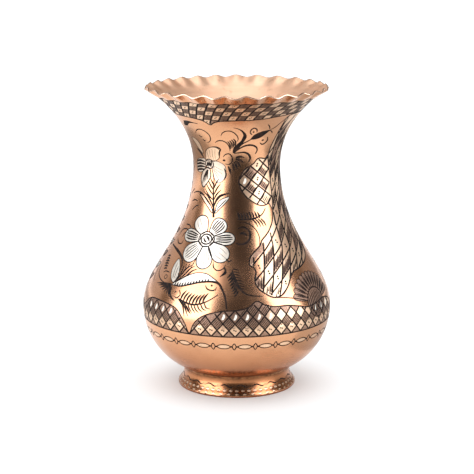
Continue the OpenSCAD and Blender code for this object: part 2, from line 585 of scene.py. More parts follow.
def small_flower(d):
    """The flower on the neck, seen from the side: every petal is drawn on its own."""
    d.area([(-62.2, 186.2), (-51.5, 184.6), (-46.5, 175.6), (-54, 179)], LIGHT, edge=0.35)
    d.stroke([(-58, 178.5), (-52, 176.4), (-46.5, 172)], [0.4, 1.3, 1.0, 0.3])
    d.area([(-43.2, 171.4), (-42.6, 174.8), (-41, 177.8), (-37, 179.8), (-32, 180.9), (-26, 181),
            (-21.4, 179.2), (-21.6, 175.6), (-24, 172.4), (-31, 170.4), (-38, 170.6)], LIGHT, edge=0.3)
    d.area([(-35, 170.4), (-29, 171), (-21, 170), (-15.2, 167.6), (-13.8, 163), (-16, 158.6),
            (-20.6, 155.8), (-26.6, 155.6), (-30.4, 159), (-32.8, 163.4)], BRIGHT, edge=0.25)
    d.area([(-38, 165.4), (-45, 164.6), (-50.4, 161.6), (-53, 157), (-51, 153), (-47.6, 151),
            (-43.4, 152.8), (-38.4, 156.4), (-35.6, 160)], BRIGHT, edge=0.55)
    d.area([(-44, 171.2), (-52, 171.6), (-59.6, 170.6), (-63, 168), (-63.6, 164.6), (-61, 161.8),
            (-54, 161.4), (-46, 164)], BRIGHT, edge=0.3)
    for k in range(4):
        z = 170.0 - 2.15 * k
        d.stroke([(-63, z - 1.2), (-54, z), (-45, z - 0.6 + 0.3 * k)], [0.9, 1.0, 0.5])
    for k in range(4):
        d.stroke([(-50 + 3.0 * k, 153.4 + 1.2 * k), (-47 + 2.0 * k, 159 + 0.4 * k), (-42 + 0.8 * k, 164)],
                 [0.3, 0.6, 0.3])
        d.stroke([(-22 + 1.4 * k, 156.6 + 2.6 * k), (-29, 162.2 + 1.5 * k), (-33, 166 + k)], 0.16)
        d.stroke([(-40 + 4.4 * k, 178.4 + 0.6 * k), (-39 + 3.6 * k, 175), (-36.6 + 3 * k, 171.6)], 0.16)
    to = local(d, (-37.8, 168.3))
    p = to(oval(3.6, 3.4, 10))
    d.areas.append((d.smooth(p, 1.2, True), BRIGHT))
    d.stroke(p, 0.5, closed=True, flat=True)
    for x in (-1.5, 0.0, 1.5):
        d.stroke(to([(x - 0.8, -1.9), (x, 0), (x + 0.7, 1.8)]), [0.4, 1.2, 0.4], flat=True)
    # Curled edges of two petals
    strokes(d, 0.7, [(-32, 181.2), (-24, 181.2), (-19.8, 179.8), (-22.2, 177), (-22.2, 173.2)],
            [(-16.5, 166), (-14, 162.8), (-14.5, 159.8), (-16.5, 157.8)])


def neck_curls(d):
    """Curls above the small flower, and four hooks beside them."""
    d.stroke([(-66, 195.2), (-60, 197), (-52, 198.6), (-40, 198.2)], [0.3, 3.0, 1.6, 0.6, 0.3])
    strokes(d, 0.55,
            [(-50, 190.5), (-46, 193), (-40, 194), (-34, 192.4), (-30.4, 189.5), (-31.2, 186), (-36, 184)],
            [(-46, 189.4), (-43, 188), (-41, 188.3)], [(-42, 186.6), (-39.4, 185.3), (-37.6, 185.6)],
            [(-17, 190), (-15.4, 192), (-12, 193.6), (-7, 194), (-2.6, 192.6), (0.7, 190), (1.6, 187.5),
             (0.3, 186)],
            [(-25.5, 184.6), (-21.5, 186.2), (-16.8, 186.4), (-12.2, 185.2), (-9, 182.4), (-8, 178.8)])
    for k in range(4):
        a, z = -10.4 + 2.2 * k, 186 + 0.7 * k
        d.stroke([(a, z), (a + 2.6, z - 2.2), (a + 3.0 - 0.4 * k, z - 5.8)], [0.4, 0.8, 0.7, 0.4])


def bud(d):
    """The dark crescent, the bud on its stem, and two long leaves under it."""
    d.stroke([(-3, 196.6), (3, 195.2), (7.2, 192.6), (8.8, 189.8), (6.2, 186), (1, 182.2), (-2.6, 179.4),
              (-4.2, 177.4)], [0.3, 0.5, 1.0, 1.8, 1.4, 1.9, 2.2, 0.6])
    d.stroke([(-2.6, 178.4), (2, 181.6), (7, 184.4), (12, 186), (17, 187.9)], [0.8, 0.7, 0.6, 0.5])
    d.stroke([(15.6, 187.5), (20, 189), (26, 190.6), (32, 192.4), (36.5, 193.7)],
             [0.5, 2.6, 3.2, 3.0, 1.8, 0.4])
    strokes(d, 0.55, [(36, 193.7), (41, 195.2), (46, 198.2), (50, 201.6)],
            [(35.6, 194.2), (34, 196.4), (31, 198.2)], [(36, 193.2), (39, 192.6), (41, 190.8)])
    d.stroke([(-2.6, 177.9), (4, 181), (11, 182.9), (18, 183), (24, 181.2), (25.4, 178.6), (23.2, 176.4)],
             [0.5, 0.7, 0.9, 0.8, 0.5])
    d.stroke([(-3.4, 177.2), (3, 177.6), (9, 177.9), (14.4, 176.4), (17.2, 173.6), (15.2, 170.6)],
             [0.5, 0.6, 0.9, 1.0, 0.5])


def leaf_fan(d):
    """Tapered leaves fanned out under the crescent, and a curl with a dot beside them."""
    strokes(d, [0.5, 1.2, 0.9, 0.2],
            [(-1.5, 173.8), (4, 174.8), (9.8, 174)], [(-1.5, 172.8), (4.2, 172.2), (8.8, 170)],
            [(-2.2, 171.5), (2.2, 170), (4.8, 167.2)], [(-3.5, 170.8), (-1, 168.8), (1, 165.5)],
            [(-5.2, 170), (-4, 167.2), (-3.5, 164.2)], [(-11.2, 167.5), (-8.8, 165), (-7.2, 161.5)])
    d.stroke([(-17.2, 174.2), (-14.5, 176), (-9.5, 176.8), (-5.8, 174.5), (-6, 170.8), (-9.8, 169),
              (-15, 169.2)], 0.55)
    dot(d, (-16.2, 171.8), 2.0, 1.1)


def eyes(d):
    """Two dots, each half ringed by a curl, above and below the bud."""
    d.stroke([(14, 191.8), (14.2, 194.2), (16.8, 196), (20.5, 195), (21.2, 192.5)], 0.7)
    d.stroke([(14.2, 192.5), (16.2, 190.8)], 0.6)
    dot(d, (17.5, 193), 1.4, 1.0)
    d.stroke([(27.4, 184.6), (30, 183.3), (33, 183.4), (36, 184.8), (37.2, 186.6), (35.6, 188.6)], 0.7)
    dot(d, (30.6, 186.3), 2.0, 1.0)


def fern(d):
    """The upright stem between the two flowers, and the curls on its left."""
    d.stroke([(-26.6, 131), (-28.2, 138.2), (-30, 145), (-30.8, 151.5), (-30.5, 157), (-33, 164)],
             [1.1, 0.9, 0.8, 0.6, 0.4])
    strokes(d, [0.4, 0.8, 0.7, 0.25], [(-28.8, 143), (-25.8, 147), (-20, 150.5)],
            [(-29.2, 146.8), (-25.8, 151.2), (-21, 154.8)], [(-30, 151), (-27.5, 154.8), (-24, 157.8)],
            [(-30, 143), (-37.5, 146.2), (-43.2, 150)], [(-30.8, 146.5), (-36.8, 150), (-42.2, 153.5)],
            [(-30.8, 150), (-35.5, 153.2), (-39.2, 156.2)],
            [(-30.8, 153.2), (-33.8, 156.2), (-35.8, 158)])
    d.area([(-29.2, 134), (-36.8, 138), (-45.5, 142.5), (-52.8, 146.2), (-42.8, 144.6), (-35.2, 141),
            (-29.6, 136.4)], LIGHT, edge=0.5)
    d.stroke([(-28.8, 137.6), (-31.5, 140.6), (-37.8, 145), (-46.5, 148.5)], [0.4, 0.9, 0.8, 0.3])
    d.area([(-25.6, 134), (-20.6, 137), (-13.8, 141.4), (-8.9, 145.8), (-18.2, 144.2), (-23.8, 140.6)],
           BRIGHT, edge=0.45)
    d.stroke([(-25, 135.2), (-19.6, 139.6), (-12.6, 144)], 0.45)
    d.stroke([(-27.4, 139), (-25.2, 143.2), (-19.8, 146.5), (-9, 148.4)], [0.5, 1.3, 1.1, 0.3])
    strokes(d, 0.6, [(-68, 145.2), (-57.5, 147), (-46.8, 146), (-33.5, 139.2)],
            [(-76, 144), (-67, 148.5)], [(-62.8, 133.2), (-56.2, 136.8), (-50.8, 138)],
            [(-68, 139), (-62, 140.8), (-55, 140.6)], [(-64.8, 123), (-58, 123.2), (-53.8, 121.5)],
            [(-71.2, 114.2), (-67.8, 118.8), (-60, 120.2), (-54.5, 118.5)],
            [(-70.2, 112.2), (-64.2, 109.8), (-58.8, 110.2), (-58.2, 112.8)],
            [(-62, 114.2), (-62.2, 116.5), (-58.8, 118)])


def left_leaf(d):
    """A stem that sweeps in from the left, and the bright leaf under it."""
    d.stroke([(-76, 107.4), (-68, 106.6), (-58.8, 105), (-52, 102.8), (-48, 100), (-46, 96), (-46.4, 91)],
             [0.5, 0.8, 1.4, 1.2, 0.7, 0.4])
    d.area([(-48.4, 85.6), (-51.8, 87.8), (-54.4, 92), (-55, 96.4), (-53, 100.6), (-50, 98.8),
            (-47.2, 95), (-45.8, 90.6), (-47, 86.8)], BRIGHT, edge=0.35)
    strokes(d, 0.3, [(-50, 88), (-51.4, 93), (-52.2, 98)], [(-48.6, 88), (-49, 92), (-49.4, 96)])


def crescent_leaf(d):
    """The bright crescent leaf with a serrated underside, run on into a stem."""
    d.area([(-48, 84.2), (-44, 87.6), (-38, 91.2), (-31, 94), (-23, 94.4), (-17, 92), (-11.6, 88.4),
            (-18, 89.5), (-26, 88.6), (-33, 86.6), (-40, 84.5)], BRIGHT, edge=0.45)
    for k in range(13):
        a = -45.6 + 2.1 * k
        z = np.interp(a, [-46, -40, -33, -26, -18], [84.2, 84.8, 86.8, 88.8, 89.6])
        d.stroke([(a, z - 0.2), (a + 0.5, z + 2.0)], [0.9, 0.7, 0.2])
    d.stroke([(-46, 84), (-40, 84.3), (-33, 86.4), (-26, 88.5), (-18, 89.6), (-12.4, 88.6), (-9.4, 84.6),
              (-7.2, 79.6), (-6, 72.4)], [0.6, 0.8, 0.8, 0.9, 1.1, 0.8, 0.6])


def wheat_ears(d):
    """Ears that rise from the node where the leaves meet."""
    strokes(d, [0.4, 0.6, 0.9, 0.3],
            [(-47.8, 85), (-45.2, 89.5), (-43.8, 94.2), (-44.2, 97.5)],
            [(-47.2, 85.8), (-43.8, 90.2), (-40.8, 95.5), (-36.5, 98.5)],
            [(-46.2, 86), (-40.5, 91.5), (-37.2, 96), (-33.8, 98.2)],
            [(-45.5, 86.2), (-38.5, 91.2), (-34.8, 94.8), (-31, 96.5)])
    strokes(d, 0.45, [(-37, 95.2), (-36, 99.2), (-34.5, 104)], [(-39.4, 96.6), (-39.2, 99.6)],
            [(-41.4, 95.4), (-42.6, 98.8)])


def dark_tuft(d):
    """The tuft fanned out to the left of the node, and the curls round it."""
    for k in range(7):
        a, z = -65.5 + 3.0 * k, 81.6 - 0.95 * k
        d.stroke([(-48.4, 84.2 - 0.25 * k), ((a - 48) / 2 - 1, (z + 84.6) / 2 - 0.2 * k), (a, z)],
                 [0.5, 1.0, 0.9, 0.2])
    d.stroke([(-47.8, 82.6), (-47.6, 79), (-45.2, 76), (-41.6, 74.2)], [1.0, 1.2, 0.9, 0.3])
    strokes(d, 0.55, [(-72.8, 93.2), (-71.8, 89.2), (-68.2, 86.5), (-62, 84.4), (-56.5, 83.8)],
            [(-64.2, 89.2), (-61.2, 90.8), (-56.2, 90.8)], [(-77, 92), (-76, 86), (-72, 81)])
    to = local(d, (-58.2, 87.4))
    d.stroke(to(oval(1.9, 1.5, 8)), 0.4, closed=True, flat=True)


def slanting_leaf(d):
    """A leaf made of short slanting cuts."""
    for k in range(6):
        a, z = -68.4 + 0.9 * k, 100.4 - 1.6 * k
        size = 1.9 + 1.2 * math.sin(math.pi * (k + 0.5) / 6)
        d.stroke([(a - size, z - 0.9), (a, z), (a + size, z - 0.2)], [0.3, 1.2, 0.9, 0.3])


def dotted_curls(d):
    """Two curls under the crescent leaf, each with a dot."""
    d.stroke([(-43, 77.2), (-41, 76.2), (-39, 77.5), (-38.5, 79.5), (-40.5, 81.8)], 0.65)
    dot(d, (-42.8, 80), 1.0, 1.4)
    d.stroke([(-21.4, 87), (-20, 85), (-17, 84), (-14.4, 84.6), (-13.4, 86.2)], 0.65)
    dot(d, (-17, 87.2), 1.5, 1.1)


def frond(d):
    """The frond under the crescent leaf."""
    stem = [(-38.5, 76), (-33.2, 74.5), (-27.5, 73.8), (-21.8, 75.2), (-16.8, 78), (-12, 81.5)]
    d.stroke(stem, [0.9, 0.9, 0.8, 0.6, 0.4])
    for k in range(8):
        a = -37 + 2.25 * k
        z = float(np.interp(a, [t for t, _ in stem], [h for _, h in stem]))
        d.stroke([(a, z), (a + 0.6, z + 3.4), (a + 3.0, z + 6.8)], [0.6, 1.1, 1.0, 0.2])
        if k:
            d.stroke([(a + 1.0, z), (a + 2.6, z - 3.0), (a + 5.0, z - 7.6 + 0.6 * k)],
                     [0.5, 0.7, 0.6, 0.2])
    strokes(d, [0.4, 0.8, 0.8, 0.3], [(-39.4, 76.2), (-34.6, 72), (-32.6, 64.6)],
            [(-37, 76), (-33, 71.4), (-30.2, 65.6)], [(-34.4, 74.6), (-31, 71), (-28.4, 67.2)])


def feather(d):
    """The dark feather on the right of the frond, and the curls above it."""
    d.stroke([(-3.5, 97.5), (-2, 93.2), (0.2, 88.8), (2.8, 85), (6.5, 82), (11.8, 80.8), (17, 80.4)],
             [0.4, 1.2, 1.3, 1.0, 0.6, 0.5, 0.4])
    for k in range(8):
        a, z = -3.4 + 0.62 * k, 96.6 - 1.75 * k
        d.stroke([(a, z), (a - 1.0, z - 2.2), (a - 3.6 + 0.15 * k, z - 4.4 + 0.1 * k)],
                 [0.4, 1.0, 0.9, 0.2])
        d.stroke([(a, z + 1.6), (a + 2.4, z + 1.4), (a + 5.2, z + 0.6)], [0.3, 0.6, 0.5, 0.2])
    strokes(d, 0.55, [(-19, 102.4), (-18, 98.8), (-14.6, 96.8), (-10.6, 98), (-8.6, 100.8)],
            [(-8.8, 104.6), (-6.4, 102.6), (-4, 104)])
    d.stroke([(-9.4, 99), (-8.4, 96), (-12, 93)], [0.4, 1.4, 0.3])


def middle_scroll(d):
    """The dark scroll to the right of the big flower, under a frond of its own."""
    d.stroke([(1, 124.4), (7, 125.2), (12, 123.2), (13.4, 119.6), (10.6, 115.6), (4, 113.8), (-1, 115)],
             [0.4, 0.8, 1.1, 1.0, 0.5])
    d.stroke([(3, 120.6), (7, 121.4), (9.6, 119.4)], [0.5, 1.4, 0.6])
    for k in range(8):
        a = 3 + 3.3 * k
        d.stroke([(a, 130.6), (a - 0.6, 133), (a - 2.2, 135.6 - 0.5 * (k % 2))], [0.5, 1.0, 0.3])
        if k > 3:
            d.stroke([(a + 1, 130.4), (a + 4.4, 128), (a + 6.4, 124.8)], [0.5, 0.9, 0.3])
    d.stroke([(1, 130.4), (12, 130.3), (22, 131), (30, 133.2), (35.6, 137)], [0.4, 0.9, 0.7, 0.4])
    d.stroke([(3, 128.4), (12, 127.6), (19.6, 123.4), (22.4, 117.6), (20.6, 112)], 0.5)


# ---------------------------------------------------------------- lattices

PANELS = 2


def around(points):
    """Control points given for one panel, repeated for all the panels."""
    return [(a + 360 * k / PANELS, z) for k in range(PANELS) for a, z in points]


def runs(points, keep):
    """The stretches of a line of points where keep holds."""
    out, now = [], []
    for p, k in zip(points, keep):
        if k:
            now.append(p)
        else:
            if len(now) > 1:
                out.append(now)
            now = []
    if len(now) > 1:
        out.append(now)
    return out


def thinned(run, n):
    """Every nth point of a run, with its last."""
    return run[::n] + ([run[-1]] if (len(run) - 1) % n else [])


def level(z):
    """Points once round the vase at height z."""
    return [(6 * k, z) for k in range(60)]


def mark_cell(d, at, tone, ok, flecked=False, peck=1.0):
    """Hatches a dark cell, pecks a light one with two dots peck mm wide, or keeps its middle for a fleck.
    at(u, v) is a place in the cell, in (degrees, height), and ok says whether a place may be cut."""
    if flecked and ok(at(0.2, 0.2)) and ok(at(0.7, 0.7)):
        d.flecks.append((at(0.5, 0.5), d.turn))
    elif tone == DARK:
        for v in (0.2, 0.4, 0.6, 0.8):
            a, b = at(0.08, v), at(0.92, v)
            if ok(a) and ok(b):
                d.stroke([a, b], 0.38, ends=(0.7, 0.7), straight=True, step=3.2)
    elif ok(at(0.25, 0.25)) and ok(at(0.75, 0.75)):
        dot(d, at(0.44, 0.60), peck, 0.72 * peck)
        dot(d, at(0.54, 0.40), peck, 0.72 * peck)


def comb_cell(d, at, ok, teeth):
    """Tapered strokes side by side over a hatched ground, in the lower part of a cell."""
    ground = [at(0.04, 0.12), at(0.96, 0.12), at(0.96, 0.66), at(0.04, 0.66)]
    if all(ok(p) for p in ground):
        d.area(ground, DARK, curved=False)
    for k in range(teeth):
        u, v = (k + 0.5) / teeth, 0.78 - 0.08 * (k % 2)
        a, b = at(u, 0.12 if ok(at(u, 0.12)) else 0.4), at(u, v)
        if ok(a) and ok(b):
            d.stroke([a, b], [0.55, 0.62, 0.55, 0.2], straight=True, step=3)


def cell_lattice(d, outline, place, spans, combed, teeth, skip=None, flecked=None, dark=None):
    """Lattice lines and marked cells inside an outline. place(i, j) is a crossing, in (degrees, height);
    cells are combed where combed(i, j) holds, and flecked or darkened where flecked(degrees, height) or
    dark(i, degrees) does."""
    rim = outline.tolist()
    hole = [] if skip is None else skip.tolist()

    def ok(p):
        (a, q), = d.plane([p])
        return holds(rim, a, q) and not (hole and holds(hole, a, q))

    (i0, i1), (j0, j1) = spans
    lines = [[place(n, t) for t in np.arange(j0, j1 + 0.001, 0.125)] for n in range(i0, i1 + 1)]
    lines += [[place(t, n) for t in np.arange(i0, i1 + 0.001, 0.125)] for n in range(j0, j1 + 1)]
    for pts in lines:
        for run in runs(pts, [ok(p) for p in pts]):
            if len(run) > 2:
                d.stroke(run[::2] if len(run) > 4 else run, 0.72, ends=(1, 1), step=2.4)
    for i in range(i0, i1):
        for j in range(j0, j1):
            def at(u, v):
                return place(i + u, j + v)

            if dark is not None and dark(i, at(0.5, 0.5)[0]):
                corners = [at(0, 0), at(1, 0), at(1, 1), at(0, 1)]
                if all(ok(p) for p in corners):
                    d.area(corners, DARK, curved=False)
            if combed(i, j):
                comb_cell(d, at, ok, teeth)
            else:
                mark_cell(d, at, LIGHT, ok, flecked is not None and flecked(*at(0.5, 0.5)), peck=1.4)


# The bands' level edges, the height of a diamond, and the wavy edges as (degrees, height)
LOW_Z, LOW_CELL_H = 52.7, 9.5
HIGH_Z = 215.0
LOW_TOP = [(-75, 64), (-68, 70), (-60, 72), (-45, 71), (-38, 68.4), (-32.6, 61), (-29.2, 53.4),
           (-25.8, 61), (-20, 67), (-10, 70.6), (0, 71.6), (7, 73.4), (12.4, 77.4), (17, 74.8), (23, 73),
           (32, 72.6), (40, 71), (48, 68.8), (58, 70), (68, 71), (77, 68), (83.4, 61), (87, 53.4),
           (90.6, 61), (97, 66)]
HIGH_LOW = [(-75, 203.6), (-60, 203), (-45, 202.6), (-35, 201.6), (-29.6, 200), (-25.5, 198.2),
            (-21.4, 200), (-14, 201.4), (0, 202), (20, 202.6), (40, 204), (60, 205), (75, 204.4),
            (90, 203.8)]


def skyline(points):
    """A function from angles in degrees to heights, through control points repeated round the vase."""
    p = sorted((x % 360, z) for x, z in around(points))
    xs = np.array([p[-1][0] - 360] + [x for x, _ in p] + [p[0][0] + 360])
    zs = np.array([p[-1][1]] + [z for _, z in p] + [p[0][1]])
    return lambda a: np.interp(np.asarray(a) % 360, xs, zs)


def low_band(d):
    """The diamond lattice round the belly, under a line of arches."""
    count, phase = 51, -1.0
    pitch = 360 / count
    top = skyline(LOW_TOP)
    d.girdle(around(LOW_TOP), 0.6, 1.5)
    d.girdle(level(LOW_Z), 0.6)
    for k in range(count):
        a0 = phase + pitch * k
        for sign in (1, -1):
            zs = np.arange(LOW_Z, 78, 0.775)
            pts = [(a0 + sign * (z - LOW_Z) / LOW_CELL_H * pitch, z) for z in zs]
            keep = [z < top(a) - 0.1 for a, z in pts]
            for run in runs(pts, keep):
                d.stroke(thinned(run, 3), 0.68, ends=(1, 1), step=2.4)

    def ok(p):
        return LOW_Z < p[1] < top(p[0]) - 0.2

    def shaded(a):
        """Where the upper rows are dark throughout."""
        return (a + 75) % (360 / PANELS) < 90

    for k in range(count):
        for row in range(0, 6):
            a = phase + pitch * (k + (0.5 if row % 2 == 0 else 0))
            z = LOW_Z + LOW_CELL_H / 2 * (row - 1)
            tone = DARK if row % 2 == 0 or (row > 3 and shaded(a)) else LIGHT

            def at(u, v):
                return a + (u - v) * pitch / 2, z + (u + v) * LOW_CELL_H / 2

            mark_cell(d, at, tone, ok, row == 3)

    def tone_of(a, q):
        deg, z = np.degrees(a), d.surface.z_at(q)
        u, v = (deg - phase) / pitch, (z - LOW_Z) / LOW_CELL_H
        row = np.floor(u + v) - np.floor(u - v)
        dark = (row % 2 == 0) | ((row >= 3) & shaded(deg))
        band = (z > LOW_Z) & (z < top(deg))
        return np.where(band, np.where(dark, DARK, LIGHT), -1)

    d.areas.append((tone_of, None))


def high_band(d):
    """The slanted chequers round the lip."""
    count, rows, phase, foot_z = 48, 4, 3, 202.2
    s = d.surface
    s_top = s.s_at(s.q_at(HIGH_Z))
    row_h = (s_top - s.s_at(s.q_at(foot_z))) / rows
    pitch = 360 / count
    lean = pitch * 1.5 / (rows * row_h)
    foot = skyline(HIGH_LOW)
    d.girdle(around(HIGH_LOW), 0.6, 1.5)
    d.girdle(level(HIGH_Z), 0.6)

    def ok(p):
        return HIGH_Z > p[1] > foot(p[0]) + 0.1

    for k in range(count):
        pts = []
        for t in np.arange(0, rows + 1.2, 0.125):
            z = float(s.z_at(s.q_of_s(s_top - t * row_h)))
            pts.append((pitch * k + phase - lean * t * row_h, z))
        for run in runs(pts, [ok(p) or t == 0 for t, p in enumerate(pts)]):
            d.stroke(thinned(run, 4), 0.8, ends=(1, 1), step=2.4)
        for row in range(rows + 1):
            s0 = s_top - row * row_h
            z0, z1 = (float(s.z_at(s.q_of_s(x))) for x in (s0, s0 - row_h))
            a = pitch * k + phase - lean * row * row_h
            tone = DARK if (k + row) % 2 == 0 else LIGHT

            def at(u, v):
                return a + u * pitch - v * lean * row_h, z0 + v * (z1 - z0)

            mark_cell(d, at, tone, ok)
            if row and ok((a + pitch / 2, z0)):
                d.stroke([(a, z0), (a + pitch, z0)], 0.42, ends=(1, 1), straight=True, step=3)

    def tone_of(a, q):
        deg, z = np.degrees(a), s.z_at(q)
        down = s_top - s.s_at(q)
        cell = (np.floor((deg - phase + lean * down) / pitch) + np.floor(down / row_h)) % 2
        band = (z < HIGH_Z) & (z > foot(deg))
        return np.where(band, np.where(cell == 0, DARK, LIGHT), -1)

    d.areas.append((tone_of, None))


def chain(d):
    """A line of lens-shaped links with a small diamond between each two."""
    count, z, phase = 28, 45.1, -1.5
    pitch = 360 / count
    for k in range(count):
        a = phase + pitch * k
        for tip in (2.5, -2.5):
            d.stroke([(a - 1.3, z), (a, z + tip), (a + 1.3, z)], 0.5, ends=(1, 1), step=1)
        m = a + pitch / 2
        for sign in (1, -1):
            d.stroke([(a + 1.4, z - sign * 0.3), (m - 3.6, z + sign * 0.7), (m - 1.6, z + sign * 1.55),
                      (m + 1.6, z + sign * 1.55), (m + 3.6, z + sign * 0.7),
                      (a + pitch - 1.4, z - sign * 0.3)], 0.45, ends=(0.7, 0.7))
        lens = [(m - 3.6, z), (m - 1.6, z + 1.0), (m + 1.6, z + 1.0), (m + 3.6, z), (m + 1.6, z - 1.0),
                (m - 1.6, z - 1.0)]
        d.area(lens, LIGHT)
        for x in (0.9, -2.9):
            d.stroke([(a + x, z), (a + x + 2, z)], 0.9, step=1)


def lattice_ribbon(d):
    """The broad ribbon of lattice that sweeps up from the belly into the lip, with a bay on the neck."""
    shared = [(46.4, 135.2), (48.6, 141), (49.4, 148), (48.8, 156), (47, 164), (44.6, 170), (43.4, 174.6)]
    bulge = [(39, 172.4), (35, 172.6), (30, 173), (26, 172), (22.6, 169.6), (17, 167.6), (11, 165.6),
             (6, 161.6), (3, 156.5), (6, 150.6), (12, 145.8), (20, 142), (27, 139.6), (35, 139),
             (42, 139.6)]
    left = [(10, 100.6), (11.4, 105.4), (15.6, 108.8), (21.6, 112.8), (24.6, 116), (29, 118.4),
            (34, 121.4), (40, 126), (44, 130.6)]
    right = [(45.6, 181), (49, 188), (51, 196), (52, 203), (66, 204.4), (78, 203.4), (81, 190), (85, 172),
             (87, 155), (88, 140), (88, 126), (86, 114), (80, 105)]
    foot = [(68, 98.4), (56, 95), (46, 93.2), (41, 90), (36, 84.6), (30, 79.8), (24, 79), (19, 81.6),
            (15, 85), (13, 88.6), (13, 92), (14.4, 96), (13, 98.8)]
    bay = d.area(shared + bulge, LIGHT, edge=0.6)
    ribbon = d.area(left + shared + right + foot, LIGHT, edge=0.7)

    # The scalloped tip: dark, plain, dark
    d.area([(11.4, 101), (12, 104.6), (15.6, 108), (21, 111.8), (26, 114.6), (25, 110), (18, 106)], DARK)
    d.area([(12.8, 101), (15, 104), (18.6, 105.4), (18.4, 98), (18, 92.4), (15, 92.8), (13.6, 96)], PLAIN)
    d.area([(13.4, 94), (15.2, 92.8), (17.5, 88.8), (18, 85), (15.8, 85.6), (13.6, 89)], DARK)

    def on_ribbon(i, j):
        """Cells widen as the ribbon rises, up to height 110, and its lines lean less above that."""
        z = 119.9 + 7.5 * i + 11.4 * j
        low = min(z, 110)
        return 18.2 + 0.258 * (low - 86) + 0.1 * (z - low) + 6.6 * math.exp(0.0173 * (low - 86)) * i, z

    def on_bay(i, j):
        return 27.6 + 9.6 * i + 8.6 * j, 163.2 - 4.4 * i + 5.6 * j

    cell_lattice(d, ribbon, on_ribbon, ((-2, 8), (-9, 9)), lambda i, j: (i + j) % 2 == 0, 6, skip=bay,
                 dark=lambda i, a: a > 54 and i % 2 == 0)
    cell_lattice(d, bay, on_bay, ((-3, 5), (-4, 4)), lambda i, j: (i + j) % 2 == 0, 5,
                 flecked=lambda a, z: a < 17, dark=lambda i, a: a < 19)


def shell_fan(d):
    """A pleated fan round a hatched oval, at the foot of the ribbon, and the line that leads to it."""
    to = local(d, (58, 70.5))
    n = 13

    def place(share, wide, tall):
        return wide * math.cos(share), tall * math.sin(share)

    angles = np.linspace(math.radians(168), math.radians(12), n + 1)
    for t0, t1 in zip(angles[:-1], angles[1:]):
        tm = (t0 + t1) / 2
        pts = [place(t0, 11.5, 12), place(t0, 22.4, 22.4), place(tm, 24.8, 24.6), place(t1, 22.4, 22.4),
               place(t1, 11.5, 12)]
        p = d.smooth(to(pts), 1.4, True)
        d.areas.append((p, DARK))
        d.stroke(p, 0.42, closed=True, flat=True, step=1.4)
        for f in (-0.22, 0.22):
            t = tm + f * (t1 - t0)
            d.stroke(to([place(t, 13, 13.4), place(t, 22.2, 22.2)]), 0.35, flat=True, straight=True,
                     step=3)
    hollow = to(oval(10.4, 10.8, 14))
    d.areas.append((hollow, DARK))
    d.stroke(hollow, 0.6, closed=True, flat=True)
    for k in range(9):
        x = -8.4 + 2.1 * k
        reach = 10 * math.sqrt(1 - (x / 10.4) ** 2) - 0.8
        d.stroke(to([(x, -reach), (x, reach)]), 0.7, flat=True, straight=True, step=3)
    d.stroke([(24, 78.6), (30, 78.2), (36, 77), (42, 75.4), (47, 73.6), (51, 72)], 0.5)


def side_spray(d):
    """Leaves and curls in the gap between the ribbon and the next panel."""
    stem = [(94, 72), (95, 84), (97, 98), (98.4, 112), (98, 128), (95, 142), (93, 158)]
    d.stroke(stem, [0.9, 0.9, 0.8, 0.7, 0.6, 0.4])
    for k in range(9):
        z = 80 + 8.6 * k
        a = float(np.interp(z, [h for _, h in stem], [t for t, _ in stem]))
        size = 0.84 - 0.04 * k
        for sign in (1, -1):
            tip = (a + sign * 7.5 * size, z + 6 * size)
            d.area([(a, z), (a + sign * 3 * size, z + 0.6), (a + sign * 6.6 * size, z + 3), tip,
                    (a + sign * 4.4 * size, z + 5.6 * size), (a + sign * 1.4 * size, z + 3.6)],
                   BRIGHT if k % 2 else DARK, edge=0.45)
            d.stroke([(a, z), (a + sign * 4 * size, z + 3 * size), tip], 0.4)
    strokes(d, 0.55, [(92, 158), (95, 164), (101, 167), (105, 163), (102, 159.6)],
            [(92, 160), (89, 168), (92, 176), (98, 178), (100, 173)],
            [(91, 176), (92, 186), (98, 192), (104, 188), (101, 184)])
    dot(d, (102, 163), 1.4, 0.9)
    dot(d, (96.4, 173.6), 1.4, 0.9)


MOTIFS = (lattice_ribbon, shell_fan, side_spray, neck_curls, bud, leaf_fan, eyes, small_flower, fern,
          big_flower, left_leaf, crescent_leaf, wheat_ears, dark_tuft, slanting_leaf, dotted_curls, frond,
          feather, middle_scroll)


def draw_body():
    """The bands run right round the vase. The motifs are drawn once for each panel."""
    d = Drawing(BODY)
    low_band(d)
    high_band(d)
    chain(d)
    for k in range(PANELS):
        d.turn = 360 * k / PANELS
        for motif in MOTIFS:
            motif(d)
    # Flecks coloured as painted white glints
    for centre, turn in d.flecks:
        d.turn = turn
        fleck(d, centre, 1.5)
    return d


def dimple(d, centre, w, h):
    """An oval hollow, w mm long and h mm tall before the gain, with a dark rim along its sides, and
    coloured light inside as a painted reflection.
    """
    to = local(d, centre)
    for r in (1.7 * h, h):
        d.stroke(to([(-w / 2, 0), (0, 0), (w / 2, 0)]), [r * 0.5, r, r * 0.5], flat=True, step=0.7)
    p = d.strokes[-1][0]
    side = side_of(d.strokes[-1], d.surface)
    d.punched.append(np.concatenate([p + side, (p - side)[::-1]]))


def draw_foot():
    """Waves with ticks between them under the crease, over two rows of punched ovals."""
    d = Drawing(FOOT)
    waves = 21
    pitch = 360 / waves
    for k in range(waves):
        a = pitch * k
        d.stroke([(a, 7.6), (a + 3.5, 8.5), (a + 7, 7.9), (a + 10, 6.9), (a + 13, 7.3)], 0.6)
        for t in range(3):
            d.stroke([(a + 13.4 + 1.4 * t, 8.3), (a + 14.1 + 1.4 * t, 6.7)], 0.45)
    for count, z, w, h in ((58, 4.6, 2.5, 1.05), (46, 2.5, 2.3, 0.7)):
        for k in range(count):
            dimple(d, (360 * k / count, z), w, h)
    return d


# ---------------------------------------------------------------- meshes


# Points this close, in millimetres, become one, and edges sharper than RIDGE stay sharp
WELD = 0.001
RIDGE = math.radians(40)


